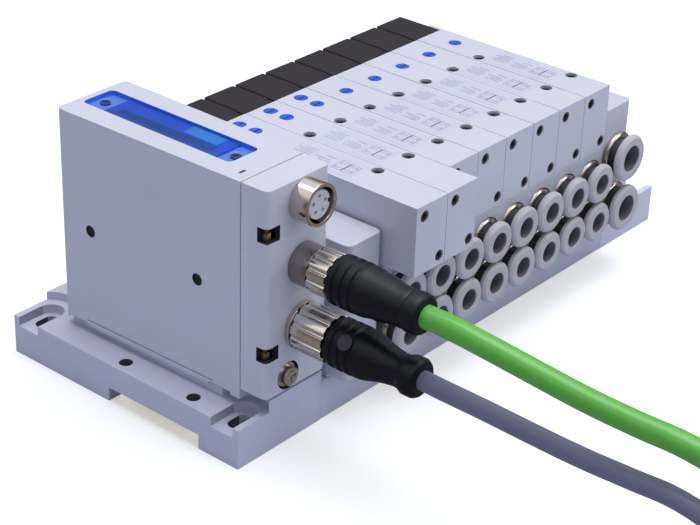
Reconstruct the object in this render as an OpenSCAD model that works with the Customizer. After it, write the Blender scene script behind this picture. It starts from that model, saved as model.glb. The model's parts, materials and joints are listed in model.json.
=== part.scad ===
// Pneumatic valve manifold: eight valves on a base with push-in tube ports, and a
// control module at the near end with three M12 sockets and two leads plugged in.
// X runs along the row of valves, Y from the port side to the coils, Z up.
// The origin is under the middle of the manifold, on the face that it rests on.

/* [Base] */
// Overall length of the base along the row
base_len = 205; // [202:1:240]
// Depth of the base from the port side to the back
base_depth = 90.5; // [88:0.5:110]
// Height of the base plate
plate_h = 12.5; // [11:0.5:14]
// Length of the end base that carries the module
near_len = 34; // [33.5:0.5:34.5]
// Length of the end base at the far end
far_len = 30; // [22:1:34]
// Width of the channel for the 35 mm rail
rail_w = 35.5; // [35.2:0.1:36.5]
// Depth of the rail channel
rail_d = 4.5; // [4.2:0.1:6]
// Distance from the port face to the rail channel
rail_y = 15; // [14:0.5:20]
// Width of the mounting slots
slot_w = 4.5; // [3.4:0.1:5.5]
// Length of the mounting slots
slot_len = 7.5; // [6:0.1:9]
// Distance from an end face to the middle of a slot
slot_x = 7.2; // [6.5:0.1:8]
// Distance from the port face or the back to the middle of a slot
slot_y = 6.2; // [5.8:0.1:7]
// Width of the sunk seat round a slot
seat_w = 8.2; // [7:0.1:10]
// Depth of the sunk seat
seat_d = 3; // [2:0.5:4]

/* [Module] */
// Distance from the base's end face to the module
module_x = 9; // [8:0.5:10]
// Width of the module
module_w = 24.3; // [23:0.1:24.4]
// Front face of the module's case, behind its front cover
case_y = 8; // [6:0.5:10]
// Depth of the module's case
case_depth = 68.3; // [60:0.5:72]
// Height of the module's top above the ground
module_top = 81; // [78:0.5:90]
// Gap between the module and the base plate
module_gap = 2.5; // [1.5:0.1:3]
// Thickness of the front cover
cover_t = 9.6; // [9:0.1:12]
// Wall of the module's case
case_wall = 2; // [1.5:0.1:2.5]
// Width of the display window
window_w = 11.6; // [10:0.1:14]
// Length of the display window
window_len = 56.5; // [50:0.5:57.5]
// Distance from the display window to the module's back
window_gap = 2.1; // [2:0.1:3]

/* [Sockets] */
// Height of the lowest socket
socket_z = 36.8; // [35.5:0.1:38]
// Distance between sockets
socket_pitch = 18.9; // [18:0.1:19.2]
// Distance of the sockets from the module's side
socket_x = 14; // [12:0.5:15]
// Outer diameter of a socket's sleeve
sleeve_d = 12.2; // [11.8:0.1:12.6]
// How far a sleeve stands out of the cover
sleeve_out = 6.2; // [5.8:0.1:7]
// Bore of a sleeve, into which the plug's nut screws
thread_bore = 10; // [9.8:0.1:10.2]
// Diameter of a socket's insert
insert_d = 8.2; // [8:0.1:8.4]

/* [Valves] */
// Number of valves
valve_count = 8; // [8:1:8]
// Distance between valves
valve_pitch = 13.5; // [13:0.05:13.6]
// Thickness of one valve
valve_w = 13.3; // [12.8:0.05:13.4]
// Underside of the valves above the ground
valve_z = 45; // [44:0.5:47]
// Height of one valve
valve_h = 21.2; // [20:0.1:24]
// Front face of a valve's body, behind its end cap
body_y = 0.8; // [0.5:0.1:2]
// Length of a valve's body
body_len = 57.8; // [56:0.2:60]
// Length of the end cap on a valve with two pistons
long_cap = 17.8; // [14:0.1:20]
// Length of the end cap on the other valves
short_cap = 7.9; // [7.2:0.1:10]
// Number of valves with the long cap
long_count = 2; // [1:1:3]
// Number of valves with two manual buttons
double_count = 3; // [1:1:3]
// Length of a coil housing
coil_len = 17.7; // [15:0.1:20]
// Width of a coil housing
coil_w = 12.9; // [11.5:0.1:13]
// Diameter of a manual button
button_d = 4.1; // [3.8:0.1:4.4]
// How far a manual button can be pushed in
button_travel = 1.2; // [0.8:0.1:1.5]
// Distance of the rear manual button from the front of the body
button_y = 53.9; // [53.5:0.1:54.4]
// Distance between two manual buttons on one valve
button_gap = 6.4; // [6:0.1:7]

/* [Supply blocks] */
// Width of a supply block
block_w = 15; // [14.5:0.1:15]
// How far a supply block stands out in front of the base
block_out = 6.4; // [5:0.1:7]
// Height of a supply block's top above the ground
block_top = 56.5; // [52:0.5:58]

/* [Tube ports] */
// Height of the lower row of ports
port_z = 22.5; // [22:0.1:23]
// Distance between the two rows of ports
port_rise = 13.4; // [13.3:0.05:14]
// Tube diameter of the valve ports
tube_d = 6; // [5:0.5:6]
// Tube diameter of the supply ports
supply_tube_d = 8; // [6:0.5:8]
// Distance between the two supply ports
supply_rise = 17.5; // [17:0.1:18]
// Flange diameter of a release ring on a valve port
ring_d = 12.8; // [12:0.1:13.1]
// Flange diameter of a release ring on a supply port
supply_ring_d = 16; // [15:0.1:16.2]
// Thickness of a release ring's flange
ring_t = 3.2; // [2.5:0.1:4]
// How far a release ring can be pushed in
ring_travel = 1.2; // [0.8:0.1:1.4]
// Length of the valve fittings' bodies in front of the manifold
fitting_out = 7.5; // [6.5:0.1:9]
// Length of the supply fittings' bodies in front of their block
supply_fitting_out = 1.8; // [1.6:0.1:3]

/* [Leads] */
// Diameter of the network lead
network_d = 6.5; // [6:0.1:7]
// Diameter of the power lead
power_d = 5.5; // [5:0.1:6]
// Length of a plug's moulded grip
grip_len = 28.7; // [28:0.1:32]
// Largest diameter of a plug's grip
grip_d = 14.3; // [13:0.1:15]

/* [Fits] */
// Clearance round what slides or turns, on the radius
run_gap = 0.1; // [0.05:0.01:0.1]

/* [Hidden] */
$fn = 48;
first_x = near_len + 2.5 + block_w;
row_len = valve_count * valve_pitch;
row_end = first_x + row_len;
valve_top = valve_z + valve_h;
front_most = body_y - long_cap;
coil_y = body_y + body_len;
case_z = plate_h + module_gap;
window_y = case_y + case_depth - window_gap - window_len;
cover_y = case_y - cover_t;
cover_z = case_z + 3.5;
block_back = coil_y + coil_len;
port_stop = 8;
insert_w = valve_pitch - 0.1;
insert_h = port_rise - 0.1;
insert_depth = port_stop + 3;
supply_shank_d = 12.6;
supply_x = row_end + block_w / 2 + 0.5;
ring_gap = ring_travel + 0.4;
valve_seat = 1;
supply_seat = -4;
far_x = base_len - far_len;
block_gap = 0.5;
far_step_x = row_end + block_w + block_gap;
socket_at = module_x + socket_x;
nut_gap = 0.3;
grip_start = 13;
power_sleeve_d = 11.8;
recess_r = 1.9;
foot_step = 3.8;
top_screws_y = [5.1, 34.6];
board_at = 10;
board_len = 50;
board_t = 1.6;
board_drop = 9.5;
chip_h = 1.4;
chip_pitch = 8;
case_r = 1.7;
block_r = 2;
window_r = 1.6;
seam = 0.4;
rod_places = [[14, 47.5], [46, 18.5], [46, 47.5]];
network_z = socket_z + socket_pitch;
lead_y = cover_y - grip_start - grip_len;

pale = [0.78, 0.79, 0.84];
grey = [0.66, 0.67, 0.74];
nickel = [0.75, 0.72, 0.68];
black = [0.13, 0.14, 0.17];

// Puts a piece that is drawn from the corner of the base into the part's own frame
module place() {
    translate([-base_len / 2, -(base_depth + front_most) / 2, 0]) children();
}

// Block given by its lowest and highest corners
module block(a, b) {
    translate(a) cube(b - a);
}

// Block whose upright edges are rounded
module rounded_block(a, b, r) {
    block([a[0] + r, a[1], a[2]], [b[0] - r, b[1], b[2]]);
    block([a[0], a[1] + r, a[2]], [b[0], b[1] - r, b[2]]);
    for (x = [a[0] + r, b[0] - r], y = [a[1] + r, b[1] - r])
        translate([x, y, a[2]]) cylinder(r = r, h = b[2] - a[2]);
}

// Cylinder that points towards the port side from a point
module rod_out(x, y, z, d, len) {
    translate([x, y, z]) rotate([90, 0, 0]) cylinder(d = d, h = len);
}

// Slot through the base with a sunk seat that is open at the end face
module slot_cut() {
    run = (slot_len - slot_w) / 2;
    for (s = [-run, run]) translate([slot_x + s, 0, -1]) cylinder(d = slot_w, h = plate_h + 9);
    block([slot_x - run, -slot_w / 2, -1], [slot_x + run, slot_w / 2, plate_h + 8]);
    seat_z = plate_h - seat_d;
    translate([slot_x + 1.5, 0, seat_z]) cylinder(d = seat_w, h = 12);
    block([-1, -seat_w / 2, seat_z], [slot_x + 1.5, seat_w / 2, plate_h + 8]);
    translate([slot_x + 1.5, 0, plate_h]) cylinder(d = seat_w + 6, h = 12);
    block([-1, -seat_w / 2 - 3, plate_h], [slot_x + 1.5, seat_w / 2 + 3, plate_h + 8]);
}

module rail_cut() {
    block([-1, rail_y, -1], [base_len + 1, rail_y + rail_w, rail_d]);
}

module near_end_base() color(pale) place() difference() {
    union() {
        block([0, 0, 0], [near_len, base_depth, plate_h]);
        block([module_x + foot_step, 0, plate_h], [near_len, base_depth, case_z]);
        block([module_x + 3, 0, plate_h], [near_len, 1.5, case_z + 1.2]);
        block([module_x + 0.8, slot_y + 9, plate_h], [near_len, base_depth - slot_y - 9, case_z]);
    }
    rail_cut();
    translate([0, slot_y, 0]) slot_cut();
    translate([0, base_depth - slot_y, 0]) slot_cut();
    for (y = [rail_y + 5.6, rail_y + rail_w - 3.2])
        translate([4, y, -1]) cylinder(d = 4, h = plate_h + 2);
}

module manifold_base() color(pale) place() difference() {
    union() {
        block([near_len, 0, 0], [far_x, base_depth, plate_h]);
        block([first_x, 0, plate_h], [row_end, block_back - 4, valve_z]);
    }
    rail_cut();
    block([first_x - 1, -1, port_z - insert_h / 2 - 0.05],
        [row_end + 1, insert_depth, port_z + port_rise + insert_h / 2 + 0.05]);
}

module far_end_base() color(pale) place() difference() {
    union() {
        block([far_x, 0, 0], [base_len, base_depth, plate_h]);
        block([far_step_x, 0, plate_h], [max(far_step_x, base_len - module_x - foot_step), base_depth, case_z]);
    }
    rail_cut();
    translate([base_len, 0, 0]) mirror([1, 0, 0]) {
        translate([0, slot_y, 0]) slot_cut();
        translate([0, base_depth - slot_y, 0]) slot_cut();
    }
}

// Supply block: a plain casting that closes one end of the row of valves
module supply_block(x) {
    difference() {
        rounded_block([x, -block_out, plate_h], [x + block_w, block_back, block_top], block_r);
        block([x - 1, -block_out - 1, plate_h - 1], [x + block_w + 1, 0, plate_h + 1.2]);
        block([x - 1, block_back - 12, block_top - 7], [x + block_w + 1, block_back + 1, block_top + 1]);
    }
}

module near_block() color(grey) place() supply_block(first_x - block_w);

module far_block() color(grey) place() difference() {
    union() {
        supply_block(row_end);
        block([row_end, coil_y - 4.5, block_top - 8], [row_end + 6.5, coil_y + 10, block_top + 6.5]);
    }
    for (z = [port_z, port_z + supply_rise])
        rod_out(supply_x, 6, z, supply_shank_d + 0.2, 6 + block_out + 1);
    for (p = rod_places) translate([row_end + block_w - 3.4, p[0], p[1]]) rotate([0, 90, 0]) cylinder(d = 7, h = 4);
}

module module_case() color(pale) place() difference() {
    rounded_block([module_x, case_y - 5, case_z], [module_x + module_w, case_y + case_depth, module_top], case_r);
    block([module_x - 1, case_y - 6, case_z - 1], [module_x + module_w + 1, case_y, module_top + 1]);
    block([module_x + case_wall, case_y - 1, case_z + case_wall],
        [module_x + module_w - case_wall, case_y + case_depth - case_wall, module_top - 6]);
    window_at = [module_x + module_w / 2 - window_w / 2, window_y, 0];
    translate(window_at) {
        rounded_block([0, 0, module_top - 1.6], [window_w, window_len, module_top + 1], window_r);
        block([1.5, 7.5, module_top - 7], [window_w - 1.5, window_len - 7.5, module_top]);
    }
    translate([module_x + 5, case_y + case_depth - 0.5, case_z + 8]) difference() {
        block([0, 0, 0], [module_w - 10, 1, 46]);
        block([0.5, -1, 0.5], [module_w - 10.5, 2, 45.5]);
    }
    for (y = [case_y + 15.5, case_y + 56.5])
        translate([module_x - 1, y, 46.5]) rotate([0, 90, 0]) cylinder(d = 3.6, h = 1 + case_wall / 2);
    block([module_x - 1, case_y + 10, case_z + 1.6], [module_x + 0.5, case_y + 59, case_z + 2]);
    for (y = [case_y + 3.5, case_y + 59])
        block([module_x - 1, y, case_z - 1], [module_x + 1.5, y + 8, case_z + 0.9]);
}

module display_window() color([0.2, 0.55, 0.9, 0.5]) place() {
    window_at = [module_x + module_w / 2 - window_w / 2, window_y, 0];
    difference() {
        translate(window_at)
            rounded_block([run_gap, run_gap, module_top - 1.6],
                [window_w - run_gap, window_len - run_gap, module_top - 0.2], window_r - run_gap);
        for (y = [3.2, window_len - 3.2])
            translate(window_at + [window_w / 2, y, module_top - 2]) cylinder(d = 3.4, h = 3);
    }
}

module circuit_board() color([0.1, 0.4, 0.3]) place() {
    mid = module_x + module_w / 2;
    y0 = case_y + board_at;
    board_z = module_top - board_drop;
    block([module_x + case_wall, y0, board_z], [module_x + module_w - case_wall, y0 + board_len, board_z + board_t]);
    for (k = [0:4])
        block([mid - 3, y0 + 6 + k * chip_pitch, board_z + board_t],
            [mid + 1, y0 + 9 + k * chip_pitch, board_z + board_t + chip_h]);
}

module module_cover() color(pale) place() difference() {
    rounded_block([module_x, cover_y, cover_z], [module_x + module_w, case_y + 5, module_top], case_r);
    block([module_x - 1, case_y, cover_z - 1], [module_x + module_w + 1, case_y + 6, module_top + 1]);
    difference() {
        block([module_x - 1, case_y - seam, cover_z - 1], [module_x + module_w + 1, case_y + 1, module_top + 1]);
        block([module_x + 0.6, case_y - 1, cover_z + 0.6], [module_x + module_w - 0.6, case_y + 2, module_top - 0.6]);
    }
    block([module_x + case_wall, cover_y + case_wall, cover_z + case_wall],
        [module_x + module_w - case_wall, case_y + 1, module_top - case_wall]);
    for (k = [0:2])
        rod_out(socket_at, case_y, socket_z + k * socket_pitch, k == 0 ? power_sleeve_d + 0.2 : thread_bore + 1.4,
            cover_t + 1);
    for (z = [32, 68])
        block([module_x - 1, cover_y - 1, z - 2.2], [module_x + 5, cover_y + 3.6, z + 2.2]);
    rod_out(module_x + 9, cover_y + 1.4, 22.8, 8.4, 3);
}

// Sleeve of one socket, with a shank that goes through the cover
module socket_shell(z, out) {
    difference() {
        union() {
            rod_out(socket_at, cover_y, z, sleeve_d, out);
            rod_out(socket_at, cover_y + 4, z, thread_bore + 1.2, 4);
        }
        rod_out(socket_at, cover_y + 5, z, thread_bore, out + 6);
    }
}

module m12_sockets() color(nickel) place() {
    socket_shell(network_z, sleeve_out);
    socket_shell(network_z + socket_pitch, sleeve_out);
    difference() {
        union() {
            rod_out(socket_at, cover_y, socket_z, power_sleeve_d + 2.2, 1.6);
            rod_out(socket_at, cover_y + 4, socket_z, power_sleeve_d, 10);
        }
        rod_out(socket_at, cover_y + 5, socket_z, insert_d + 0.6, 20);
    }
}

// Insert of one socket, with its contact holes and key
module socket_insert(z, out) {
    difference() {
        rod_out(socket_at, cover_y + 5, z, insert_d, out + 5);
        for (a = [0:72:288])
            rod_out(socket_at + 2.4 * sin(a), cover_y - out + 4, z + 2.4 * cos(a), 1.1, 5);
        block([socket_at + insert_d / 2 - 0.8, cover_y - out - 1, z - 0.7],
            [socket_at + insert_d, cover_y - out + 4, z + 0.7]);
    }
    rod_out(socket_at, cover_y + 5.2, z, thread_bore + 0.6, 1.2);
}

module socket_inserts() color([0.8, 0.8, 0.84]) place() {
    socket_insert(network_z, sleeve_out - 0.8);
    socket_insert(network_z + socket_pitch, sleeve_out - 0.8);
    rod_out(socket_at, cover_y + 5, socket_z, insert_d, 8);
    rod_out(socket_at, cover_y + 5.2, socket_z, thread_bore + 0.6, 1.2);
}

// Body of valve k, counted from 0 at the near end
module valve_body(k) color(pale) place() {
    x = first_x + k * valve_pitch + (valve_pitch - valve_w) / 2;
    difference() {
        block([x, body_y, valve_z], [x + valve_w, body_y + body_len, valve_top]);
        translate([x + 2.3, body_y + top_screws_y[1], valve_top - 2.6]) cylinder(r = recess_r, h = 4);
        translate([x + valve_w - 2.3, body_y + top_screws_y[0], valve_top - 2.6]) cylinder(r = recess_r, h = 4);
        translate([x + valve_w / 2, body_y + button_y - button_gap, valve_top - 8])
            cylinder(d = button_d + 2 * run_gap, h = 10);
        if (k < double_count)
            translate([x + valve_w / 2, body_y + button_y, valve_top - 8])
                cylinder(d = button_d + 2 * run_gap, h = 10);
        block([x - 1, body_y + body_len - 2.5, valve_z - 1], [x + valve_w + 1, body_y + body_len + 1, valve_z + 3]);
    }
}

module end_caps() color(pale) place() for (k = [0:valve_count - 1]) {
    x = first_x + k * valve_pitch + (valve_pitch - valve_w) / 2;
    len = k < long_count ? long_cap : short_cap;
    difference() {
        block([x, body_y - len, valve_z], [x + valve_w, body_y, valve_top]);
        rod_out(x + 3.5, body_y - len + 1.4, valve_top - 3.5, 2 * recess_r - 0.3, 3);
        rod_out(x + valve_w - 2.3, body_y - len + 1.4, valve_z + 2.9, 2 * recess_r - 0.3, 3);
    }
}

module coil_housings() color([0.24, 0.22, 0.24]) place() for (k = [0:valve_count - 1]) {
    x = first_x + (k + 0.5) * valve_pitch;
    difference() {
        union() {
            block([x - coil_w / 2, coil_y, valve_z + 4], [x + coil_w / 2, coil_y + coil_len, valve_top - 0.4]);
            block([x - coil_w / 2 + 1, coil_y, valve_z + 1], [x + coil_w / 2 - 1, coil_y + 6, valve_z + 4]);
        }
        block([x - coil_w / 2 - 1, coil_y + 4, valve_top - 1], [x - coil_w / 2 + 0.6, coil_y + coil_len + 1, valve_top]);
        block([x - 3, coil_y + coil_len - 1, valve_z + 6], [x + 3, coil_y + coil_len + 1, valve_z + 12]);
    }
}

// Small cross-head screw, standing on a point and pointing up
module screw_head(r, h) {
    difference() {
        cylinder(r = r, h = h);
        for (a = [0, 90]) rotate([0, 0, a]) block([-r * 0.7, -0.3, h - 0.8], [r * 0.7, 0.3, h + 1]);
    }
}

module screws() color(nickel) place() {
    head_r = recess_r - 0.35;
    for (k = [0:valve_count - 1]) {
        x = first_x + k * valve_pitch + (valve_pitch - valve_w) / 2;
        len = k < long_count ? long_cap : short_cap;
        translate([x + 2.3, body_y + top_screws_y[1], valve_top - 2.6]) screw_head(head_r, 1.9);
        translate([x + valve_w - 2.3, body_y + top_screws_y[0], valve_top - 2.6]) screw_head(head_r, 1.9);
        translate([x + 3.5, body_y - len + 1.4, valve_top - 3.5]) rotate([90, 0, 0]) screw_head(head_r - 0.15, 1.2);
        translate([x + valve_w - 2.3, body_y - len + 1.4, valve_z + 2.9])
            rotate([90, 0, 0]) screw_head(head_r - 0.15, 1.2);
    }
    for (y = [3.2, window_len - 3.2])
        translate([module_x + module_w / 2, window_y + y, module_top - 1.6])
            screw_head(head_r, 1.2);
    for (y = [case_y + 15.5, case_y + 56.5])
        translate([module_x + case_wall / 2, y, 46.5]) rotate([0, -90, 0]) screw_head(1.6, 0.7);
    for (p = rod_places) translate([row_end + block_w - 3.4, p[0], p[1]]) rotate([0, 90, 0]) difference() {
        cylinder(d = 6, h = 3);
        translate([0, 0, 1.5]) cylinder(d = 3.4, h = 3, $fn = 6);
    }
    translate([module_x + 9, cover_y + 1.4, 22.8]) rotate([90, 0, 0]) {
        cylinder(r = 3.6, h = 0.7);
        translate([0, 0, 0.7]) screw_head(2.7, 2);
    }
}

// Push-in fitting: what stands in front of the face it is fitted in is round, the children go behind it
module fitting_body(x, y, z, tube, flange, out, stop, seat) {
    translate([x, y, z]) rotate([90, 0, 0]) difference() {
        union() {
            rotate_extrude() polygon([[0, 0], [flange / 2, 0], [flange / 2, out - 0.6], [flange / 2 - 0.6, out], [0, out]]);
            children();
        }
        rotate_extrude() polygon([[0, -stop], [tube / 2 + 0.05, -stop], [tube / 2 + 0.05, seat],
            [tube / 2 + 1.6, seat], [tube / 2 + 1.6, out + 1], [0, out + 1]]);
    }
}

module fitting_bodies() color(nickel) place() {
    for (k = [0:valve_count - 1], z = [port_z, port_z + port_rise])
        fitting_body(first_x + (k + 0.5) * valve_pitch, 0, z, tube_d, ring_d - 0.6, fitting_out, port_stop, valve_seat)
            block([-insert_w / 2, -insert_h / 2, -insert_depth], [insert_w / 2, insert_h / 2, 0]);
    for (z = [port_z, port_z + supply_rise])
        fitting_body(supply_x, -block_out, z, supply_tube_d, supply_ring_d - 0.6, supply_fitting_out, 10, supply_seat)
            translate([0, 0, -12]) cylinder(d = supply_shank_d, h = 12);
}

// Release ring of a push-in fitting: flange in front, sleeve in the fitting's body
module release_ring(x, y, z, tube, flange, reach) {
    sleeve = tube / 2 + 1.6 - run_gap;
    bore = tube / 2 + 0.2;
    translate([x, y, z]) rotate([90, 0, 0]) rotate_extrude() polygon([
        [bore, -reach], [sleeve, -reach], [sleeve, ring_gap], [flange / 2 - 0.3, ring_gap],
        [flange / 2, ring_gap + 0.3], [flange / 2, ring_gap + ring_t - 0.8],
        [flange / 2 - 0.8, ring_gap + ring_t], [bore + 0.3, ring_gap + ring_t],
        [bore, ring_gap + ring_t - 0.3]]);
}

module valve_ring(k, row) {
    color([0.72, 0.71, 0.74]) place()
        release_ring(first_x + (k + 0.5) * valve_pitch, -fitting_out, port_z + row * port_rise,
            tube_d, ring_d, fitting_out - valve_seat - ring_travel - 0.2);
}

module supply_ring(row) {
    color([0.72, 0.71, 0.74]) place()
        release_ring(supply_x, -block_out - supply_fitting_out, port_z + row * supply_rise,
            supply_tube_d, supply_ring_d, supply_fitting_out - supply_seat - ring_travel - 0.2);
}

// Manual button of valve k, with a slot for a screwdriver
module button(k, second) {
    x = first_x + (k + 0.5) * valve_pitch;
    y = body_y + button_y - (second ? 0 : button_gap);
    color([0.1, 0.35, 0.85]) place() translate([x, y, valve_top - 6.2]) difference() {
        cylinder(d = button_d, h = 6);
        block([-button_d, -0.25, 5.6], [button_d, 0.25, 7]);
    }
}

module nut_facets(d, y0, y1, z) {
    translate([socket_at, y0, z]) rotate([90, 0, 0]) difference() {
        cylinder(d = d, h = y0 - y1);
        for (a = [0:30:330]) rotate([0, 0, a]) translate([d / 2 + 0.25, 0, -1]) cylinder(d = 1.6, h = y0 - y1 + 2);
    }
}

module network_nut() color(nickel) place() difference() {
    union() {
        nut_facets(12.8, cover_y - sleeve_out - nut_gap, cover_y - grip_start + nut_gap, network_z);
        rod_out(socket_at, cover_y - 2, network_z, thread_bore - 2 * run_gap, sleeve_out - 1);
    }
    rod_out(socket_at, cover_y, network_z, insert_d + 4 * run_gap, 20);
}

module power_nut() color(nickel) place() difference() {
    nut_facets(14.2, cover_y - 2, cover_y - grip_start + nut_gap, socket_z);
    rod_out(socket_at, cover_y, socket_z, power_sleeve_d + 2 * run_gap, 7);
    rod_out(socket_at, cover_y, socket_z, insert_d + 4 * run_gap, 20);
}

// Plug: moulded grip with ribs, a nose that goes through the nut, and a collar at the lead
module plug(z, neck_d, collar_d, nose, mark) {
    g = grip_d / 2;
    translate([socket_at, cover_y - grip_start, z]) rotate([90, 0, 0]) difference() {
        rotate_extrude() polygon([
            [0, -nose], [insert_d / 2, -nose], [insert_d / 2, 0], [g - 0.9, 0], [g - 0.1, 0.9],
            [g - 0.1, 2.4], [g - 0.6, 2.8], [g - 0.6, 3.5], [g, 3.9], [g, 5.2], [g - 0.5, 5.6],
            [g - 0.5, 6.3], [g, 6.7], [g, 8], [g - 0.5, 8.4], [g - 0.5, 9.1], [g - 0.1, 9.5],
            [g - 0.5, 12], [neck_d / 2 + 0.8, grip_len - 10], [neck_d / 2, grip_len - 6.5],
            [collar_d / 2 - 0.5, grip_len - 5], [collar_d / 2, grip_len - 3.6],
            [collar_d / 2, grip_len - 1.4], [collar_d / 2 - 0.9, grip_len], [0, grip_len]]);
        rotate([0, 0, mark]) translate([g - 0.9, 0, 3.6]) rotate([0, 90, 0]) cylinder(d = 4.7, h = 3);
        for (a = [-45, 135]) rotate([0, 0, a]) block([g - 1.5, -3.4, 10.5], [g + 1, 3.4, grip_len - 6]);
    }
}

module network_plug() color(black) place() plug(network_z, 10.4, 11.6, grip_start - sleeve_out + 0.8, -90);
module power_plug() color(black) place() plug(socket_z, 8.6, 11.2, grip_start - 3, 150);

// Routes of the leads, from the plugs through the air and along the ground to their coils
network_floor = network_d / 2;
power_floor = power_d / 2;
network_route = [[socket_at, lead_y, network_z], [socket_at, lead_y - 8, network_z],
    [24, -62, 54.4], [26, -76, 52.8], [27.5, -90, 51], [29, -104, 48.8], [30.5, -118, 45.8],
    [32, -131, 41.4], [34, -143, 35], [36, -153, 27], [38, -161, 18.5], [40, -169, 10.6],
    [41.3, -178, 5], [42, -188, network_floor], [42, -196, network_floor]];
power_route = [[socket_at, lead_y, socket_z], [socket_at, lead_y - 8, socket_z],
    [24, -62, 35.8], [25.5, -76, 35], [27, -90, 34.2], [28, -104, 33.4], [28.5, -118, 31.6],
    [28.4, -131, 28], [27.6, -143, 22.4], [26.5, -154, 15.6], [25.2, -164, 9.2],
    [24, -174, 4.6], [23, -185, power_floor], [23, -196, power_floor]];

// Coils of what is left of the leads: outer radius, width of the winding, height
network_ring = [42 + network_d / 2, 3 * network_d, 2 * network_d];
power_ring = [38 + power_d / 2, 3 * power_d, 2 * power_d];
network_coil_at = [84, -196, 0];
power_coil_at = [-15, -196, 0];

// Corner points of a round ring across the route at point i
function ring_at(route, i, r, sides) =
    let (a = route[max(i - 1, 0)], b = route[min(i + 1, len(route) - 1)], t = (b - a) / norm(b - a),
        u = cross(t, [0, 0, 1]) / norm(cross(t, [0, 0, 1])), v = cross(u, t))
    [for (s = [0:sides - 1]) route[i] + r * (cos(360 * s / sides) * u + sin(360 * s / sides) * v)];

// Tube of even thickness swept along a route
module tube(route, d, sides) {
    n = len(route);
    points = [for (i = [0:n - 1]) each ring_at(route, i, d / 2, sides)];
    walls = [for (i = [0:n - 2], s = [0:sides - 1])
        [i * sides + s, (i + 1) * sides + s, (i + 1) * sides + (s + 1) % sides, i * sides + (s + 1) % sides]];
    ends = [[for (s = [0:sides - 1]) s], [for (s = [0:sides - 1]) n * sides - 1 - s]];
    polyhedron(points, concat(walls, ends));
}

module coil(at, ring) {
    translate(at) rotate_extrude() translate([ring[0] - ring[1], 0]) square([ring[1], ring[2]]);
}

module network_lead() color([0.25, 0.65, 0.2]) place() tube(network_route, network_d, 10);
module power_lead() color([0.5, 0.51, 0.62]) place() tube(power_route, power_d, 10);
module network_coil() color([0.25, 0.65, 0.2]) place() coil(network_coil_at, network_ring);
module power_coil() color([0.5, 0.51, 0.62]) place() coil(power_coil_at, power_ring);

near_end_base();
manifold_base();
far_end_base();
near_block();
far_block();
module_case();
module_cover();
display_window();
circuit_board();
m12_sockets();
socket_inserts();
valve_body(0);  // valve_1
valve_body(1);  // valve_2
valve_body(2);  // valve_3
valve_body(3);  // valve_4
valve_body(4);  // valve_5
valve_body(5);  // valve_6
valve_body(6);  // valve_7
valve_body(7);  // valve_8
end_caps();
coil_housings();
screws();
fitting_bodies();
network_nut();
power_nut();
network_plug();
power_plug();
network_lead();
power_lead();
network_coil();
power_coil();
button(0, false);  // button_1
button(1, false);  // button_2
button(2, false);  // button_3
button(3, false);  // button_4
button(4, false);  // button_5
button(5, false);  // button_6
button(6, false);  // button_7
button(7, false);  // button_8
button(0, true);  // button_1b
button(1, true);  // button_2b
button(2, true);  // button_3b
valve_ring(0, 0);  // ring_low_1
valve_ring(1, 0);  // ring_low_2
valve_ring(2, 0);  // ring_low_3
valve_ring(3, 0);  // ring_low_4
valve_ring(4, 0);  // ring_low_5
valve_ring(5, 0);  // ring_low_6
valve_ring(6, 0);  // ring_low_7
valve_ring(7, 0);  // ring_low_8
valve_ring(0, 1);  // ring_top_1
valve_ring(1, 1);  // ring_top_2
valve_ring(2, 1);  // ring_top_3
valve_ring(3, 1);  // ring_top_4
valve_ring(4, 1);  // ring_top_5
valve_ring(5, 1);  // ring_top_6
valve_ring(6, 1);  // ring_top_7
valve_ring(7, 1);  // ring_top_8
supply_ring(0);  // ring_exhaust
supply_ring(1);  // ring_supply
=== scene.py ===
import bpy
import json
import math
from mathutils import Matrix, Vector


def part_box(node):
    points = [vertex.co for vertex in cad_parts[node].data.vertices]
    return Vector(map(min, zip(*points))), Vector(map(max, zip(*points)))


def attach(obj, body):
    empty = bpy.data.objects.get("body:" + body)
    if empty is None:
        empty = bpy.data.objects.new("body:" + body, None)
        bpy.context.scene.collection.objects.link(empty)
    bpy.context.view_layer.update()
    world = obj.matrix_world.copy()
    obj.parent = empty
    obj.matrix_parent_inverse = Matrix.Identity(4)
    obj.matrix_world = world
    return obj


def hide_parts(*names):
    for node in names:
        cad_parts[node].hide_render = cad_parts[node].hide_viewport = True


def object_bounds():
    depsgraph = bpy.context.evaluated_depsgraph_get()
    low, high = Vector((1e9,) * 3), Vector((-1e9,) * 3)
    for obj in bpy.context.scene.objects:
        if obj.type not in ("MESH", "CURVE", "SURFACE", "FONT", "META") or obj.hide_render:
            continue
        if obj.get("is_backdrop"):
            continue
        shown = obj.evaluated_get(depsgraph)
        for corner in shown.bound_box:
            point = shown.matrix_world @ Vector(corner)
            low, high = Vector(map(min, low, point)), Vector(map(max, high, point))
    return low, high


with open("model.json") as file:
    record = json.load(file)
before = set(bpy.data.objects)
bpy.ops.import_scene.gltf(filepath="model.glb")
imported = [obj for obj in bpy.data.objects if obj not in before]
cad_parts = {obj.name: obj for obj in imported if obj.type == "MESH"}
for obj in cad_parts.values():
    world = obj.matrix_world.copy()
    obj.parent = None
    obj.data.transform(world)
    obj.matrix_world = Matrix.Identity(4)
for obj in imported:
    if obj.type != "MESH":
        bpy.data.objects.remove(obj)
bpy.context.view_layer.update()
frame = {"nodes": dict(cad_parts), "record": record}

# Camera: stands at the near left of the manifold, a little above it, and looks over the module
# to the far end. Places are measured in millimetres from the base's near front corner.
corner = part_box("near_end_base")[0]


def at(x, y, z):
    return corner + Vector((x, y, z)) / 1000


def deselect():
    bpy.ops.object.select_all(action="DESELECT")


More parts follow.
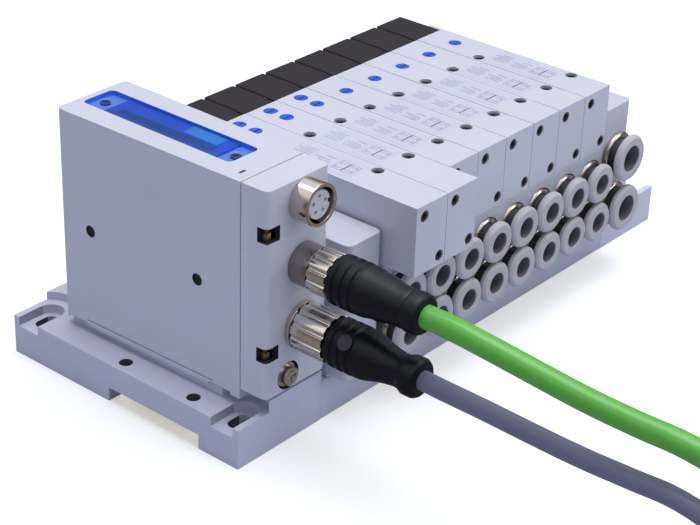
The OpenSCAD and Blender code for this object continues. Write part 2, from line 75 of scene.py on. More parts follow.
azimuth = math.radians(50.54)
elevation = math.radians(28.57)
roll = math.radians(1.97)
bpy.ops.object.camera_add(location=at(-310.3, -292.2, 296.7))
camera = bpy.context.object
turn = Matrix.Rotation(-azimuth, 3, "Z") @ Matrix.Rotation(math.pi / 2 - elevation, 3, "X")
camera.rotation_euler = (turn @ Matrix.Rotation(roll, 3, "Z")).to_euler()
camera.data.sensor_width = 36
camera.data.lens = 97.9
camera.data.clip_start = 0.01
bpy.context.scene.camera = camera

# Leads: the network lead has a green sheath and the power lead a grey one. Each leaves its plug,
# droops to the ground and is wound in a round coil of two layers, with its cores bared at the end.
socket_x, network_z, power_z = 23, 55.7, 36.8
grip_end_y = -43.3
network_d, power_d = 6.5, 5.5
network_middle, power_middle = (84, -196), (-15, -196)
network_route = [(socket_x, grip_end_y, network_z), (23, -51.3, 55.6), (24, -62, 54.1), (26, -76, 51.3),
                 (27.5, -90, 49), (29, -104, 47.5), (30.5, -118, 46.3), (32, -131, 42.4), (34, -143, 35.6),
                 (36, -153, 27), (38, -161, 18.5), (40, -169, 10.6), (41.3, -178, 5.1), (42, -188, 3.4)]
power_route = [(socket_x, grip_end_y, power_z), (23, -51.3, 36.6), (24, -62, 35.7), (25.5, -76, 34.1),
               (27, -90, 32.7), (28, -104, 32.4), (28.5, -118, 32.3), (28.4, -131, 29), (27.6, -143, 22.8),
               (26.5, -154, 15.6), (25.2, -164, 9.2), (24, -174, 4.7), (23, -185, 2.9)]


def smooth_step(t):
    t = min(max(t, 0), 1)
    return t * t * (3 - 2 * t)


def coil_point(middle, radius, d, side, inner, t):
    """Point of a coil after t turns. The inner turns run inwards on the ground, the others back on top."""
    pitch = d + 0.1
    climb = 0.4
    r = radius - pitch * (t if t < inner else 2 * inner - t)
    angle = math.pi * (side < 0) - side * 2 * math.pi * t
    lift = pitch * smooth_step((t - inner + climb / 2) / climb)
    return (middle[0] + r * math.cos(angle), middle[1] + r * math.sin(angle), d / 2 + lift)


def add_lead(name, route, middle, radius, d, side, inner, turns):
    """Round cord along a route and then round a coil. Returns the cord and the points it goes through."""
    points_per_turn = 24
    steps = int(turns * points_per_turn)
    coil = [coil_point(middle, radius, d, side, inner, turns * k / steps) for k in range(steps + 1)]
    points = [at(*p) for p in route + coil]
    curve = bpy.data.curves.new(name, "CURVE")
    curve.dimensions = "3D"
    spline = curve.splines.new("BEZIER")
    spline.bezier_points.add(len(points) - 1)
    for knot, p in zip(spline.bezier_points, points):
        knot.co = p
        knot.handle_left_type = knot.handle_right_type = "AUTO"
    spline.resolution_u = 4
    curve.bevel_depth = d / 2000
    curve.bevel_resolution = 6
    curve.use_fill_caps = True
    lead = bpy.data.objects.new(name, curve)
    bpy.context.scene.collection.objects.link(lead)
    return lead, points


network_lead, network_points = add_lead("network_cable", network_route, network_middle, radius=42,
                                        d=network_d, side=-1, inner=2, turns=3.77)
power_lead, power_points = add_lead("power_cable", power_route, power_middle, radius=38,
                                    d=power_d, side=1, inner=2.07, turns=4.14)


def sheath(name, colour, roughness):
    """Plastic sheath with a very fine grain and a slow change of tone."""
    material = bpy.data.materials.new(name)
    material.use_nodes = True
    tree = material.node_tree
    shader = tree.nodes["Principled BSDF"]
    place = tree.nodes.new("ShaderNodeTexCoord")
    grain = tree.nodes.new("ShaderNodeTexNoise")
    grain.inputs["Scale"].default_value = 900
    grain.inputs["Detail"].default_value = 3
    tree.links.new(place.outputs["Object"], grain.inputs["Vector"])
    bump = tree.nodes.new("ShaderNodeBump")
    bump.inputs["Strength"].default_value = 0.12
    bump.inputs["Distance"].default_value = 0.0002
    tree.links.new(grain.outputs["Fac"], bump.inputs["Height"])
    tree.links.new(bump.outputs["Normal"], shader.inputs["Normal"])
    shade = tree.nodes.new("ShaderNodeTexNoise")
    shade.inputs["Scale"].default_value = 35
    tree.links.new(place.outputs["Object"], shade.inputs["Vector"])
    tint = tree.nodes.new("ShaderNodeValToRGB")
    tint.color_ramp.elements[0].color = (*[c * 0.9 for c in colour], 1)
    tint.color_ramp.elements[1].color = (*[min(c * 1.1, 1) for c in colour], 1)
    tree.links.new(shade.outputs["Fac"], tint.inputs["Fac"])
    tree.links.new(tint.outputs["Color"], shader.inputs["Base Color"])
    shader.inputs["Roughness"].default_value = roughness
    return material


network_lead.data.materials.append(sheath("green_sheath", (0.11, 0.46, 0.06), 0.30))
power_lead.data.materials.append(sheath("grey_sheath", (0.17, 0.18, 0.29), 0.42))
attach(network_lead, "manifold")
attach(power_lead, "manifold")
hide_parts("network_lead", "network_coil")
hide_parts("power_lead", "power_coil")

# Plugs: each lead is moulded into a soft black grip with ribs, and its nickel-plated coupling nut
# turns freely on the grip's nose and screws into or over the socket.
def finish(name, colour, roughness, grain, relief, mottle, metal=0.0, depth=0.00005, specular=0.5):
    """Surface with a fine grain, a slow change of tone and an uneven gloss."""
    material = bpy.data.materials.new(name)
    material.use_nodes = True
    tree = material.node_tree
    shader = tree.nodes["Principled BSDF"]
    shader.inputs["Metallic"].default_value = metal
    shader.inputs["Specular IOR Level"].default_value = specular
    place = tree.nodes.new("ShaderNodeTexCoord")
    tone = tree.nodes.new("ShaderNodeTexNoise")
    tone.inputs["Scale"].default_value = 25
    tone.inputs["Detail"].default_value = 4
    tree.links.new(place.outputs["Object"], tone.inputs["Vector"])
    ramp = tree.nodes.new("ShaderNodeValToRGB")
    ramp.color_ramp.elements[0].position = 0.3
    ramp.color_ramp.elements[1].position = 0.7
    ramp.color_ramp.elements[0].color = (*[c * (1 - mottle) for c in colour], 1)
    ramp.color_ramp.elements[1].color = (*[min(1, c * (1 + mottle)) for c in colour], 1)
    tree.links.new(tone.outputs["Fac"], ramp.inputs["Fac"])
    tree.links.new(ramp.outputs["Color"], shader.inputs["Base Color"])
    fine = tree.nodes.new("ShaderNodeTexNoise")
    fine.inputs["Scale"].default_value = grain
    fine.inputs["Detail"].default_value = 6
    tree.links.new(place.outputs["Object"], fine.inputs["Vector"])
    bump = tree.nodes.new("ShaderNodeBump")
    bump.inputs["Strength"].default_value = relief
    bump.inputs["Distance"].default_value = depth
    tree.links.new(fine.outputs["Fac"], bump.inputs["Height"])
    tree.links.new(bump.outputs["Normal"], shader.inputs["Normal"])
    gloss = tree.nodes.new("ShaderNodeMapRange")
    gloss.inputs["To Min"].default_value = roughness * 0.85
    gloss.inputs["To Max"].default_value = min(1, roughness * 1.15)
    tree.links.new(fine.outputs["Fac"], gloss.inputs["Value"])
    tree.links.new(gloss.outputs["Result"], shader.inputs["Roughness"])
    return material


body_of_node = {n: b for b, names in frame["record"]["behaviour"]["bodies"].items() for n in names}


def smooth(piece, sharp=35):
    """Smooth shading that keeps broad faces flat and puts the turn of light in the rounded edges."""
    bpy.ops.object.shade_smooth_by_angle(angle=math.radians(sharp))
    shading = piece.modifiers.new("shading", "WEIGHTED_NORMAL")
    shading.weight = 100
    shading.keep_sharp = True
    bpy.ops.object.modifier_apply(modifier="shading")


def dress(node, name, material, edge, segments=2):
    """Copy of a CAD node with its doubles merged and its sharp edges rounded, in that node's place."""
    sharp = 30
    deselect()
    source = frame["nodes"][node]
    source.select_set(True)
    bpy.context.view_layer.objects.active = source
    bpy.ops.object.duplicate()
    piece = bpy.context.object
    piece.name = name
    for key in list(piece.keys()):
        del piece[key]
    bpy.ops.object.mode_set(mode="EDIT")
    bpy.ops.mesh.select_all(action="SELECT")
    bpy.ops.mesh.remove_doubles(threshold=0.000002)
    bpy.ops.mesh.dissolve_limited(angle_limit=math.radians(0.5))
    bpy.ops.object.mode_set(mode="OBJECT")
    bevel = piece.modifiers.new("edge", "BEVEL")
    bevel.width = edge / 1000
    bevel.segments = segments
    bevel.limit_method = "ANGLE"
    bevel.angle_limit = math.radians(sharp)
    bpy.ops.object.modifier_apply(modifier="edge")
    smooth(piece, sharp)
    piece.data.materials.clear()
    piece.data.materials.append(material)
    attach(piece, body_of_node[node])
    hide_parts(node)
    return piece


grip_face_y = -14.6


def add_grip(name, node, z, neck, collar, nose):
    """Moulded grip: a profile of (distance along the axis, radius) turned about the socket's axis."""
    profile = [(-nose, 0), (-nose, 4.1), (0, 4.1), (0, 6.25), (0.3, 6.7), (0.9, 7.05), (2.2, 7.05),
               (2.6, 6.5), (3.6, 6.5), (4.0, 7.1), (5.1, 7.1), (5.5, 6.55), (6.4, 6.55), (6.8, 7.1),
               (7.9, 7.1), (8.3, 6.55), (9.2, 6.55), (9.6, 7.0), (11.5, 6.85), (13.5, 6.3),
               (15.8, neck + 0.95), (18.4, neck + 0.4), (21.4, neck), (23.0, neck + 0.1),
               (23.8, collar - 0.5), (24.8, collar), (27.4, collar), (28.3, collar - 0.5),
               (28.7, collar - 1), (28.7, 0)]
    deselect()
    mesh = bpy.data.meshes.new(name)
    places = [at(socket_x + r, grip_face_y - s, z) for s, r in profile]
    mesh.from_pydata(places, [(k, k + 1) for k in range(len(places) - 1)], [])
    grip = bpy.data.objects.new(name, mesh)
    bpy.context.scene.collection.objects.link(grip)
    grip.select_set(True)
    bpy.context.view_layer.objects.active = grip
    bpy.ops.object.mode_set(mode="EDIT")
    bpy.ops.mesh.select_all(action="SELECT")
    bpy.ops.mesh.spin(steps=72, angle=2 * math.pi, center=at(socket_x, grip_face_y, z), axis=(0, 1, 0))
    bpy.ops.mesh.select_all(action="SELECT")
    bpy.ops.mesh.remove_doubles(threshold=0.00001)
    bpy.ops.mesh.normals_make_consistent(inside=False)
    bpy.ops.object.mode_set(mode="OBJECT")
    smooth(grip, 40)
    grip.data.materials.append(rubber)
    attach(grip, body_of_node[node])
    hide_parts(node)
    return grip


rubber = finish("grip_rubber", (0.0035, 0.005, 0.012), 0.42, grain=700, relief=0.25, mottle=0.15,
                specular=0.28)
nickel = finish("bright_nickel", (0.64, 0.57, 0.53), 0.13, metal=1.0, grain=250, relief=0.05, mottle=0.04)
network_grip = add_grip("network_grip", "network_plug", network_z, neck=5.4, collar=5.7, nose=7.6)
power_grip = add_grip("power_grip", "power_plug", power_z, neck=4.7, collar=5.6, nose=10)
# A small round mark on the power grip, made on top of it and then turned round the grip
mark_y = -21.4
deselect()
bpy.ops.mesh.primitive_cylinder_add(vertices=48, radius=0.0022, depth=0.001,
                                    location=at(socket_x, mark_y, power_z + 6.6))
bpy.ops.object.transform_apply(location=True, rotation=True, scale=True)
bpy.ops.object.mode_set(mode="EDIT")
bpy.ops.mesh.select_all(action="SELECT")
bpy.ops.transform.rotate(value=math.radians(50), orient_axis="Y",
                         center_override=at(socket_x, mark_y, power_z))
bpy.ops.object.mode_set(mode="OBJECT")
grip_mark = bpy.context.object
grip_mark.name = "grip_mark"
bpy.ops.object.shade_smooth_by_angle(angle=math.radians(40))
mark_rubber = finish("mark_rubber", (0.030, 0.032, 0.045), 0.5, grain=700, relief=0.25, mottle=0.1)
grip_mark.data.materials.append(mark_rubber)
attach(grip_mark, "manifold")
nut_nickel = finish("nut_nickel", (0.80, 0.76, 0.70), 0.17, metal=1.0, grain=250, relief=0.05,
                    mottle=0.04)
network_coupling = dress("network_nut", "network_coupling", nut_nickel, 0.15)
power_coupling = dress("power_nut", "power_coupling", nut_nickel, 0.15)

# Ties and cores: two black hook-and-loop straps hold each coil. At the lead's end the sheath is cut
# back from the coloured cores, whose tips are tinned.
def add_block(name, low, high, edge):
    """Block between two corners, in millimetres from the base's corner, with rounded edges."""
    deselect()
    low, high = Vector(low), Vector(high)
    bpy.ops.mesh.primitive_cube_add(size=1, location=at(*(low + high) / 2), scale=(high - low) / 1000)
    bpy.ops.object.transform_apply(location=True, rotation=True, scale=True)
    piece = bpy.context.object
    piece.name = name
    if edge:
        bevel = piece.modifiers.new("edge", "BEVEL")
        bevel.width = edge / 1000
        bevel.segments = 2
        bpy.ops.object.modifier_apply(modifier="edge")
        smooth(piece)
    return piece


def join(pieces, name):
    """One piece out of several."""
    deselect()
    for piece in pieces:
        piece.select_set(True)
    bpy.context.view_layer.objects.active = pieces[0]
    bpy.ops.object.join()
    bpy.context.object.name = name
    return bpy.context.object


def own(piece, material):
    """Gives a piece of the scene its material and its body."""
    piece.data.materials.clear()
    piece.data.materials.append(material)
    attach(piece, "manifold")
    return piece


def add_tie(name, middle, inner, outer, height, angle, material):
    """Strap round the turns of a coil, at one angle of the ring, with the tab that closes it."""
    deselect()
    half_width = 4.5
    size = Vector((outer - inner, 2 * half_width, height)) / 1000
    place = at(middle[0] + (inner + outer) / 2, middle[1], height / 2)
    bpy.ops.mesh.primitive_cube_add(size=1, location=place, scale=size)
    bpy.ops.object.transform_apply(location=True, rotation=True, scale=True)
    tie = bpy.context.object
    bpy.ops.object.mode_set(mode="EDIT")
    bpy.ops.mesh.select_all(action="DESELECT")
    bpy.ops.object.mode_set(mode="OBJECT")
    for face in tie.data.polygons:
        face.select = abs(face.normal.y) > 0.9
    bpy.ops.object.mode_set(mode="EDIT")
    bpy.ops.mesh.select_mode(type="FACE")
    bpy.ops.mesh.delete(type="ONLY_FACE")
    bpy.ops.object.mode_set(mode="OBJECT")
    for edge in tie.data.edges:
        a, b = (tie.data.vertices[i].co for i in edge.vertices)
        edge.select = abs(a.y - b.y) > 0.001
    bpy.ops.object.mode_set(mode="EDIT")
    bpy.ops.mesh.select_mode(type="EDGE")
    bpy.ops.mesh.bevel(offset=0.0035, segments=6)
    bpy.ops.object.mode_set(mode="OBJECT")
    wall = tie.modifiers.new("thickness", "SOLIDIFY")
    wall.thickness = 0.0008
    wall.offset = -1
    bpy.ops.object.modifier_apply(modifier="thickness")
    half_tab = half_width - 0.6
    tab = add_block("tab", (middle[0] + inner + 3, middle[1] - half_tab, height - 0.2),
                    (middle[0] + outer - 3, middle[1] + half_tab, height + 0.6), 0.3)
    tie = join([tie, tab], name)
    deselect()
    tie.select_set(True)
    bpy.context.view_layer.objects.active = tie
    bpy.ops.object.mode_set(mode="EDIT")
    bpy.ops.mesh.select_all(action="SELECT")
    bpy.ops.transform.rotate(value=-math.radians(angle), orient_axis="Z",
                             center_override=at(middle[0], middle[1], 0))
    bpy.ops.object.mode_set(mode="OBJECT")
    bpy.ops.object.shade_smooth_by_angle(angle=math.radians(35))
    return own(tie, material)


def add_cores(name, points, d, colours):
    """Bared cores at the end of a lead, splayed a little and lying in line with it."""
    end = points[-1]
    along = (points[-1] - points[-2]).normalized()
    across = along.cross(Vector((0, 0, 1))).normalized()
    cores = []
    for k, (tone, core_colour) in enumerate(colours.items()):
        side = (k - (len(colours) - 1) / 2) * d / 1000 * 0.22
        for part, start, stop, thick in (("core", -0.003, 0.013, 0.13), ("tip", 0.012, 0.018, 0.08)):
            curve = bpy.data.curves.new(name + "_" + part, "CURVE")
            curve.dimensions = "3D"
            spline = curve.splines.new("BEZIER")
            spline.bezier_points.add(2)
            for knot, t in zip(spline.bezier_points, (start, (start + stop) / 2, stop)):
                spread = side * (1 + max(t, 0) * 90)
                knot.co = end + along * t + across * spread - Vector((0, 0, max(t, 0) * 0.08))
                knot.handle_left_type = knot.handle_right_type = "AUTO"
            curve.bevel_depth = d / 1000 * thick
            curve.bevel_resolution = 4
            curve.use_fill_caps = True
            core = bpy.data.objects.new("%s_%s_%s" % (name, part, tone), curve)
            bpy.context.scene.collection.objects.link(core)
            if part == "core":
                core.data.materials.append(sheath(tone + "_core", core_colour, 0.4))
            else:
                core.data.materials.append(nickel)
            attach(core, "manifold")
            cores.append(core)
    return cores


strap = finish("strap_fabric", (0.020, 0.020, 0.024), 0.85, grain=2500, relief=0.6, depth=0.0002,
               mottle=0.2)
network_extras = [add_tie("network_tie_%d" % angle, network_middle, inner=27.0, outer=45.6, height=13.9,
                          angle=angle, material=strap) for angle in (65, 245)]
power_extras = [add_tie("power_tie_%d" % angle, power_middle, inner=22.3, outer=41.1, height=11.9,
                        angle=angle, material=strap) for angle in (100, 280)]
network_extras += add_cores("network_core", network_points, network_d, {
    "white": (0.75, 0.75, 0.75), "yellow": (0.75, 0.55, 0.03), "orange": (0.75, 0.2, 0.02),
    "blue": (0.03, 0.1, 0.5)})
power_extras += add_cores("power_core", power_points, power_d, {
    "brown": (0.12, 0.05, 0.02), "white": (0.75, 0.75, 0.75), "blue": (0.03, 0.1, 0.5),
    "black": (0.02, 0.02, 0.02)})

# Base: three die-cast pieces in satin grey paint, bolted end to end. The end bases have sunk slots for
# the mounting screws and all three share the channel for the rail.
def paint_faces(piece, material, inside):
    """Gives another material to the faces whose middle lies in a place, in millimetres from the corner."""
    piece.data.materials.append(material)
    slot = len(piece.data.materials) - 1
    for face in piece.data.polygons:
        x, y, z = (face.center - corner) * 1000
        if inside(x, y, z):
            face.material_index = slot


paint = finish("satin_paint", (0.60, 0.62, 0.76), 0.45, grain=600, relief=0.2, mottle=0.03)
near_foot = dress("near_end_base", "near_foot", paint, 0.5)
dress("manifold_base", "manifold", paint, 0.4)
dress("far_end_base", "far_foot", paint, 0.5)
# Little light reaches the slots of the near foot, and their seats lie in half shade
hole_shade = finish("hole_shade", (0.10, 0.105, 0.14), 0.6, grain=500, relief=0.1, mottle=0.1)
seat_shade = finish("seat_shade", (0.36, 0.37, 0.45), 0.5, grain=600, relief=0.2, mottle=0.05)
paint_faces(near_foot, hole_shade, lambda x, y, z: 1 < x < 9.5 and 1.5 < z < 9.3)
paint_faces(near_foot, seat_shade, lambda x, y, z: 1 < x < 9.5 and 9.7 < z < 12.3)

# Supply blocks: painted castings bolted on at both ends of the row of valves, which they close. The far
# one holds the two larger fittings.
block_paint = finish("block_paint", (0.55, 0.57, 0.67), 0.45, grain=600, relief=0.2, mottle=0.03)
near_supply_block = dress("near_block", "near_supply_block", block_paint, 0.5)
dress("far_block", "far_supply_block", block_paint, 0.5)
# The near block stops short of the first valve, so that a dark joint shows between them
inner_face = at(49.4, 0, 0).x
for vertex in near_supply_block.data.vertices:
    if vertex.co.x > inner_face:
        vertex.co.x -= 0.0009

# Module: a moulded case closed by a front cover with three sockets, both in fine-grained grey plastic.
# It stands on the near end base, and the insides of its recesses are painted dark as painted shade.
plastic = finish("grained_plastic", (0.60, 0.62, 0.73), 0.42, grain=900, relief=0.25, mottle=0.025)
case = dress("module_case", "case", plastic, 0.5, segments=3)
cover = dress("module_cover", "front_cover", plastic, 0.5, segments=3)
# A near-black finish, used as painted shade inside recesses and slots where little light reaches
deep = finish("deep_shadow", (0.030, 0.032, 0.045), 0.6, grain=500, relief=0.1, mottle=0.1)
# Painted shade in the notches for the latches and the recess of the earth screw in the cover, then in the
# two recesses of the screws in the case's side
latch_rows = (32, 68)
paint_faces(cover, deep, lambda x, y, z: 9.3 < x < 14.1 and -1.3 < y < 2.1
            and min(abs(z - row) for row in latch_rows) < 2.3)
earth_x, earth_z = 18, 22.8
paint_faces(cover, deep, lambda x, y, z: math.hypot(x - earth_x, z - earth_z) < 4.3 and -1.5 < y < 0)
side_screw_rows, side_screw_z = (23.5, 64.5), 46.5
paint_faces(case, deep, lambda x, y, z: 9.1 < x < 10.2 and abs(z - side_screw_z) < 1.9
            and min(abs(y - row) for row in side_screw_rows) < 1.9)
# The seat of the display window and the rim round it are painted blue, as painted light: the tint that
# light through the window gives them
seat = finish("window_seat", (0.19, 0.40, 0.85), 0.4, grain=500, relief=0.05, mottle=0.04)
paint_faces(case, seat, lambda x, y, z: 15.3 < x < 27 and 17.6 < y < 74.3 and 79.2 < z < 79.5)
rim = finish("window_rim", (0.05, 0.24, 0.98), 0.4, grain=500, relief=0.05, mottle=0.04)
paint_faces(case, rim, lambda x, y, z: 15 < x < 27.4 and 17 < y < 75 and 79.5 < z < 80.9)
# The case widens a little towards the back, as the draft of its mould makes it
case_front, case_depth = 8, 68.3
for vertex in case.data.vertices:
    x, y, z = (vertex.co - corner) * 1000
    back = (y - case_front) / case_depth
    if x < 10.9:
        vertex.co.x -= 0.0013 * back
    elif x > 31.4:
        vertex.co.x += 0.0007 * back

# Latches: brass tongues that hold the cover, seen in the notches at its corner, which are painted dark as
# shade. A small release slot in the top of the module is drawn as a thin plate painted near-black as its
# shade.
brass = finish("latch_brass", (0.30, 0.25, 0.16), 0.3, metal=1.0, grain=300, relief=0.1, mottle=0.15)
latches = []
for z in latch_rows:
    latches.append(add_block("latch", (10.3, -0.2, z - 2.2), (12.2, 1.9, z + 0.3), 0.3))
    latches.append(add_block("latch", (10.7, 0.2, z + 0.2), (11.8, 1.9, z + 1.6), 0.2))
own(join(latches, "latches"), brass)
release_slot = add_block("release_slot", (12.6, 11.2, 80.9), (14.9, 12.1, 81.01), 0)
own(release_slot, deep)

# Display window: a clear plastic plate, tinted blue, over the circuit board. It is set flush in the
# module's top and held by a screw at each end. Here it is thinner, to clear the display under it.
tint = finish("blue_window", (0.002, 0.06, 0.62), 0.08, grain=300, relief=0.02, mottle=0.05,
              specular=0.25)
tint.node_tree.nodes["Principled BSDF"].inputs["Alpha"].default_value = 0.16
window = dress("display_window", "window", tint, 0.15)
underside, raised_underside = at(0, 0, 80).z, at(0, 0, 80.45).z
for vertex in window.data.vertices:
    if vertex.co.z < underside:
        vertex.co.z = raised_underside
board = finish("solder_mask", (0.03, 0.16, 0.13), 0.35, grain=300, relief=0.1, mottle=0.1)
dress("circuit_board", "board", board, 0.1)

# Display: a light guide of blue plastic fills the opening under the window. On it lie a dark band and a
# green strip of board along one side, and a pale screen near the front.
guide = finish("light_guide", (0.008, 0.100, 0.58), 0.4, grain=400, relief=0.05, mottle=0.05)
strip = finish("board_strip", (0.002, 0.062, 0.11), 0.4, grain=400, relief=0.1, mottle=0.1)
edge_band = finish("edge_band", (0.01, 0.08, 0.30), 0.4, grain=400, relief=0.05, mottle=0.1)
screen = finish("pale_screen", (0.03, 0.33, 0.74), 0.3, grain=400, relief=0.05, mottle=0.05)
own(add_block("light_guide", (15.6, 24.6, 79.42), (26.7, 67.0, 80.1), 0.1), guide)
own(add_block("board_strip", (18.3, 27.6, 80.05), (21.0, 63.6, 80.22), 0.05), strip)
own(add_block("edge_band", (15.7, 27.6, 80.05), (18.3, 66.6, 80.2), 0.05), edge_band)
own(add_block("screen", (21.6, 28.6, 80.05), (26.4, 41.2, 80.3), 0.05), screen)

# Sockets: three nickel-plated sleeves set in the front cover, each round a moulded insert that holds
# the contacts. The middle sleeve lies in the shade of its plug and looks darker.
socket_sleeves = dress("m12_sockets", "socket_sleeves", nickel, 0.25)
shaded_nickel = finish("shaded_nickel", (0.34, 0.29, 0.28), 0.2, metal=1.0, grain=250, relief=0.05,
                       mottle=0.04)
paint_faces(socket_sleeves, shaded_nickel, lambda x, y, z: 47 < z < 64)
pale_insert = finish("insert_plastic", (0.60, 0.60, 0.66), 0.4, grain=600, relief=0.1, mottle=0.04)
dress("socket_inserts", "contact_inserts", pale_insert, 0.1)

# Valves: eight slim bodies moulded in the module's plastic and screwed side by side on the manifold.
# Each has an end cap on the port side, and two of them have softer edges than the others.
for k in range(1, 9):
    dress("valve_%d" % k, "valve_body_%d" % k, plastic, 0.5 if k in (4, 7) else 0.25)
dress("end_caps", "valve_caps", plastic, 0.3)

# Labels: a pale film stuck on between each valve's two screws and printed with a plain valve symbol:
# two boxes with flow arrows, ports, and a few ruled lines.
film = finish("label_film", (0.575, 0.60, 0.735), 0.35, grain=500, relief=0.05, mottle=0.02)
print_ink = finish("label_ink", (0.41, 0.43, 0.58), 0.5, grain=500, relief=0.05, mottle=0.15)
valve_pitch = 13.5
first_x = 51.5
top_z = 66.2


def add_symbol(x, y):
    """Printed valve symbol and ruled lines, drawn from the corner of a label."""
    lines = []

    def line(x0, y0, x1, y1):
        low, high = (x + x0, y + y0, top_z + 0.04), (x + x1, y + y1, top_z + 0.09)
        lines.append(add_block("line", low, high, 0))

    left, right, depth, half_line = 1.6, 6.6, 3.6, 0.12
    for front in (0.8, 4.4):
        for u in (front, front + depth):
            line(left, u - half_line, right, u + half_line)
        for v in (left, right):
            line(v - half_line, front, v + half_line, front + depth)
    for v in (2.8, 5.4):
        line(v - 0.1, 1.2, v + 0.1, 4.0)
        line(v - 0.45, 1.3, v + 0.45, 1.7)
        line(v - 0.1, 4.8, v + 0.1, 7.6)
        line(v - 0.45, 7.1, v + 0.45, 7.5)
    for v in (2.4, 4.1, 5.8):
        line(right, v + 1.8, right + 1.2, v + 2.0)
    for v, start, stop in ((1.9, 10.2, 15.4), (3.1, 9.8, 14.2), (4.3, 10.6, 15.8), (6.2, 9.9, 13.4),
                           (2.0, 17.6, 22.4), (3.2, 17.0, 23.2), (4.4, 17.4, 22.0), (5.6, 17.9, 23.4),
                           (6.8, 17.2, 21.2)):
        line(v, start, v + 0.45, stop)
    return lines


films, marks = [], []
for k in range(8):
    label_x = first_x + k * valve_pitch + 1.9
    films.append(add_block("film", (label_x - 0.6, 8.4, top_z),
                           (label_x + 10.1, 33.2, top_z + 0.05), 0))
    marks += add_symbol(label_x + 0.3, 9.0)
own(join(films, "valve_labels"), film)
own(join(marks, "printed_symbols"), print_ink)

# Coil housings: dark glass-filled plastic moulded round the windings, one fixed to the back of each
# valve.
dark = finish("coil_plastic", (0.010, 0.008, 0.013), 0.5, grain=500, relief=0.3, mottle=0.08,
              specular=0.3)
dress("coil_housings", "coils", dark, 0.3)

# Screws: small cross-head steel screws in the valves, the end caps, the window and the module. All but the
# earth screw are painted dark as the shade of the recesses they sit in. The earth screw is zinc-plated and
# sits on a washer painted the same dark.
zinc = finish("dull_zinc", (0.75, 0.72, 0.69), 0.3, metal=1.0, grain=300, relief=0.1, mottle=0.15)
screw_shade = finish("screw_shade_steel", (0.12, 0.12, 0.13), 0.35, metal=1.0, grain=300, relief=0.1,
                   mottle=0.2)
screw_heads = dress("screws", "cross_head_screws", zinc, 0.08)
paint_faces(screw_heads, screw_shade, lambda x, y, z: z > 30 or x > 25
            or math.hypot(x - earth_x, z - earth_z) > 2.8)
# The two in the window are darker and lower
paint_faces(screw_heads, deep, lambda x, y, z: x < 30 and z > 77)
head_foot = 79.3
for vertex in screw_heads.data.vertices:
    x, y, z = (vertex.co - corner) * 1000
    if x < 30 and z > head_foot:
        vertex.co.z -= 0.5 * (z - head_foot) / 1000

# Manual buttons: moulded in glossy blue plastic. Each stands on a spring in its valve's top, level with
# the top, and is pressed down to switch the valve by hand.
blue = finish("button_blue", (0.01, 0.09, 0.72), 0.25, grain=300, relief=0.05, mottle=0.06)
for name in [n for n in frame["nodes"] if n.startswith("button_")]:
    dress(name, name.replace("button", "manual_button"), blue, 0.15)

# Fittings: nickel-plated bodies screwed in along the port side in two rows, with two larger ones in the
# far block. Each holds a grey moulded release ring that slides in it. The collar behind each ring's flange
# and the bores are painted dark as shade.
supply_x = 167.5
low_row_z, top_row_z, supply_z = 22.5, 35.9, 40
fittings = dress("fitting_bodies", "fittings", nickel, 0.2)
collar_shade_black = finish("collar_shade_black", (0.030, 0.032, 0.040), 0.5, grain=500, relief=0.2, mottle=0.1)
# Painted shade: deep in their bores the bodies are painted black
paint_faces(fittings, collar_shade_black, lambda x, y, z: y > -0.25)


def slim(piece, middle):
    """Draws in what lies between two distances from an axis along Y, in front of the block."""
    inner, outer = 0.006, 0.0085
    block_front = at(0, -6.35, 0).y
    for vertex in piece.data.vertices:
        out = Vector((vertex.co.x - middle.x, 0, vertex.co.z - middle.z))
        if inner < out.length < outer and vertex.co.y < block_front:
            vertex.co -= out * 0.05


# The supply fittings are a little slimmer in front of their block
for z in (low_row_z, supply_z):
    slim(fittings, at(supply_x, 0, z))
ring_plastic = finish("ring_plastic", (0.50, 0.485, 0.53), 0.4, grain=600, relief=0.1, mottle=0.03)
bore_shade = finish("bore_shade", (0.20, 0.19, 0.23), 0.45, grain=600, relief=0.1, mottle=0.05)
for name in [n for n in frame["nodes"] if n.startswith("ring_")]:
    ring = dress(name, name.replace("ring", "release_ring"), ring_plastic, 0.15)
    low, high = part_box(name)
    middle, front = (low + high) / 2, low.y
    # The flange's rear comes forward, so that the flange is thinner
    for vertex in ring.data.vertices:
        wide = math.hypot(vertex.co.x - middle.x, vertex.co.z - middle.z) > 0.0052
        if wide and vertex.co.y > front + 0.0027:
            vertex.co.y -= 0.001
    # The two larger rings are slimmer, as their bodies are
    if high.x - low.x > 0.014:
        slim(ring, middle)
    # Painted shade: the sleeve behind the flange is painted black and the bore a darker grey
    ring.data.materials.append(collar_shade_black)
    ring.data.materials.append(bore_shade)
    for face in ring.data.polygons:
        out = Vector((face.center.x - middle.x, 0, face.center.z - middle.z))
        if out.length > 0.0042 and face.center.y > front + 0.0021:
            face.material_index = 1
        elif face.normal.dot(out.normalized()) < -0.8:
            face.material_index = 2

# Port face: the front of the manifold's casting in the same paint as the supply blocks, level with the
# short end caps, with a round opening for each fitting of the upper row.
openings = []
for k in range(8):
    deselect()
    place = at(first_x + (k + 0.5) * valve_pitch, -3.5, top_row_z)
    bpy.ops.mesh.primitive_cylinder_add(vertices=64, radius=0.00645, depth=0.02, location=place,
                                        rotation=(math.pi / 2, 0, 0))
    bpy.ops.object.transform_apply(location=True, rotation=True, scale=True)
    openings.append(bpy.context.object)
cutter = join(openings, "port_openings")
port_face = add_block("port_face", (51.6, -7.0, 29.3), (159.4, -0.03, 44.97), 0.2)
cut = port_face.modifiers.new("openings", "BOOLEAN")
cut.operation = "DIFFERENCE"
cut.object = cutter
bpy.ops.object.modifier_apply(modifier="openings")
bpy.data.objects.remove(cutter)
smooth(port_face)
own(port_face, block_paint)

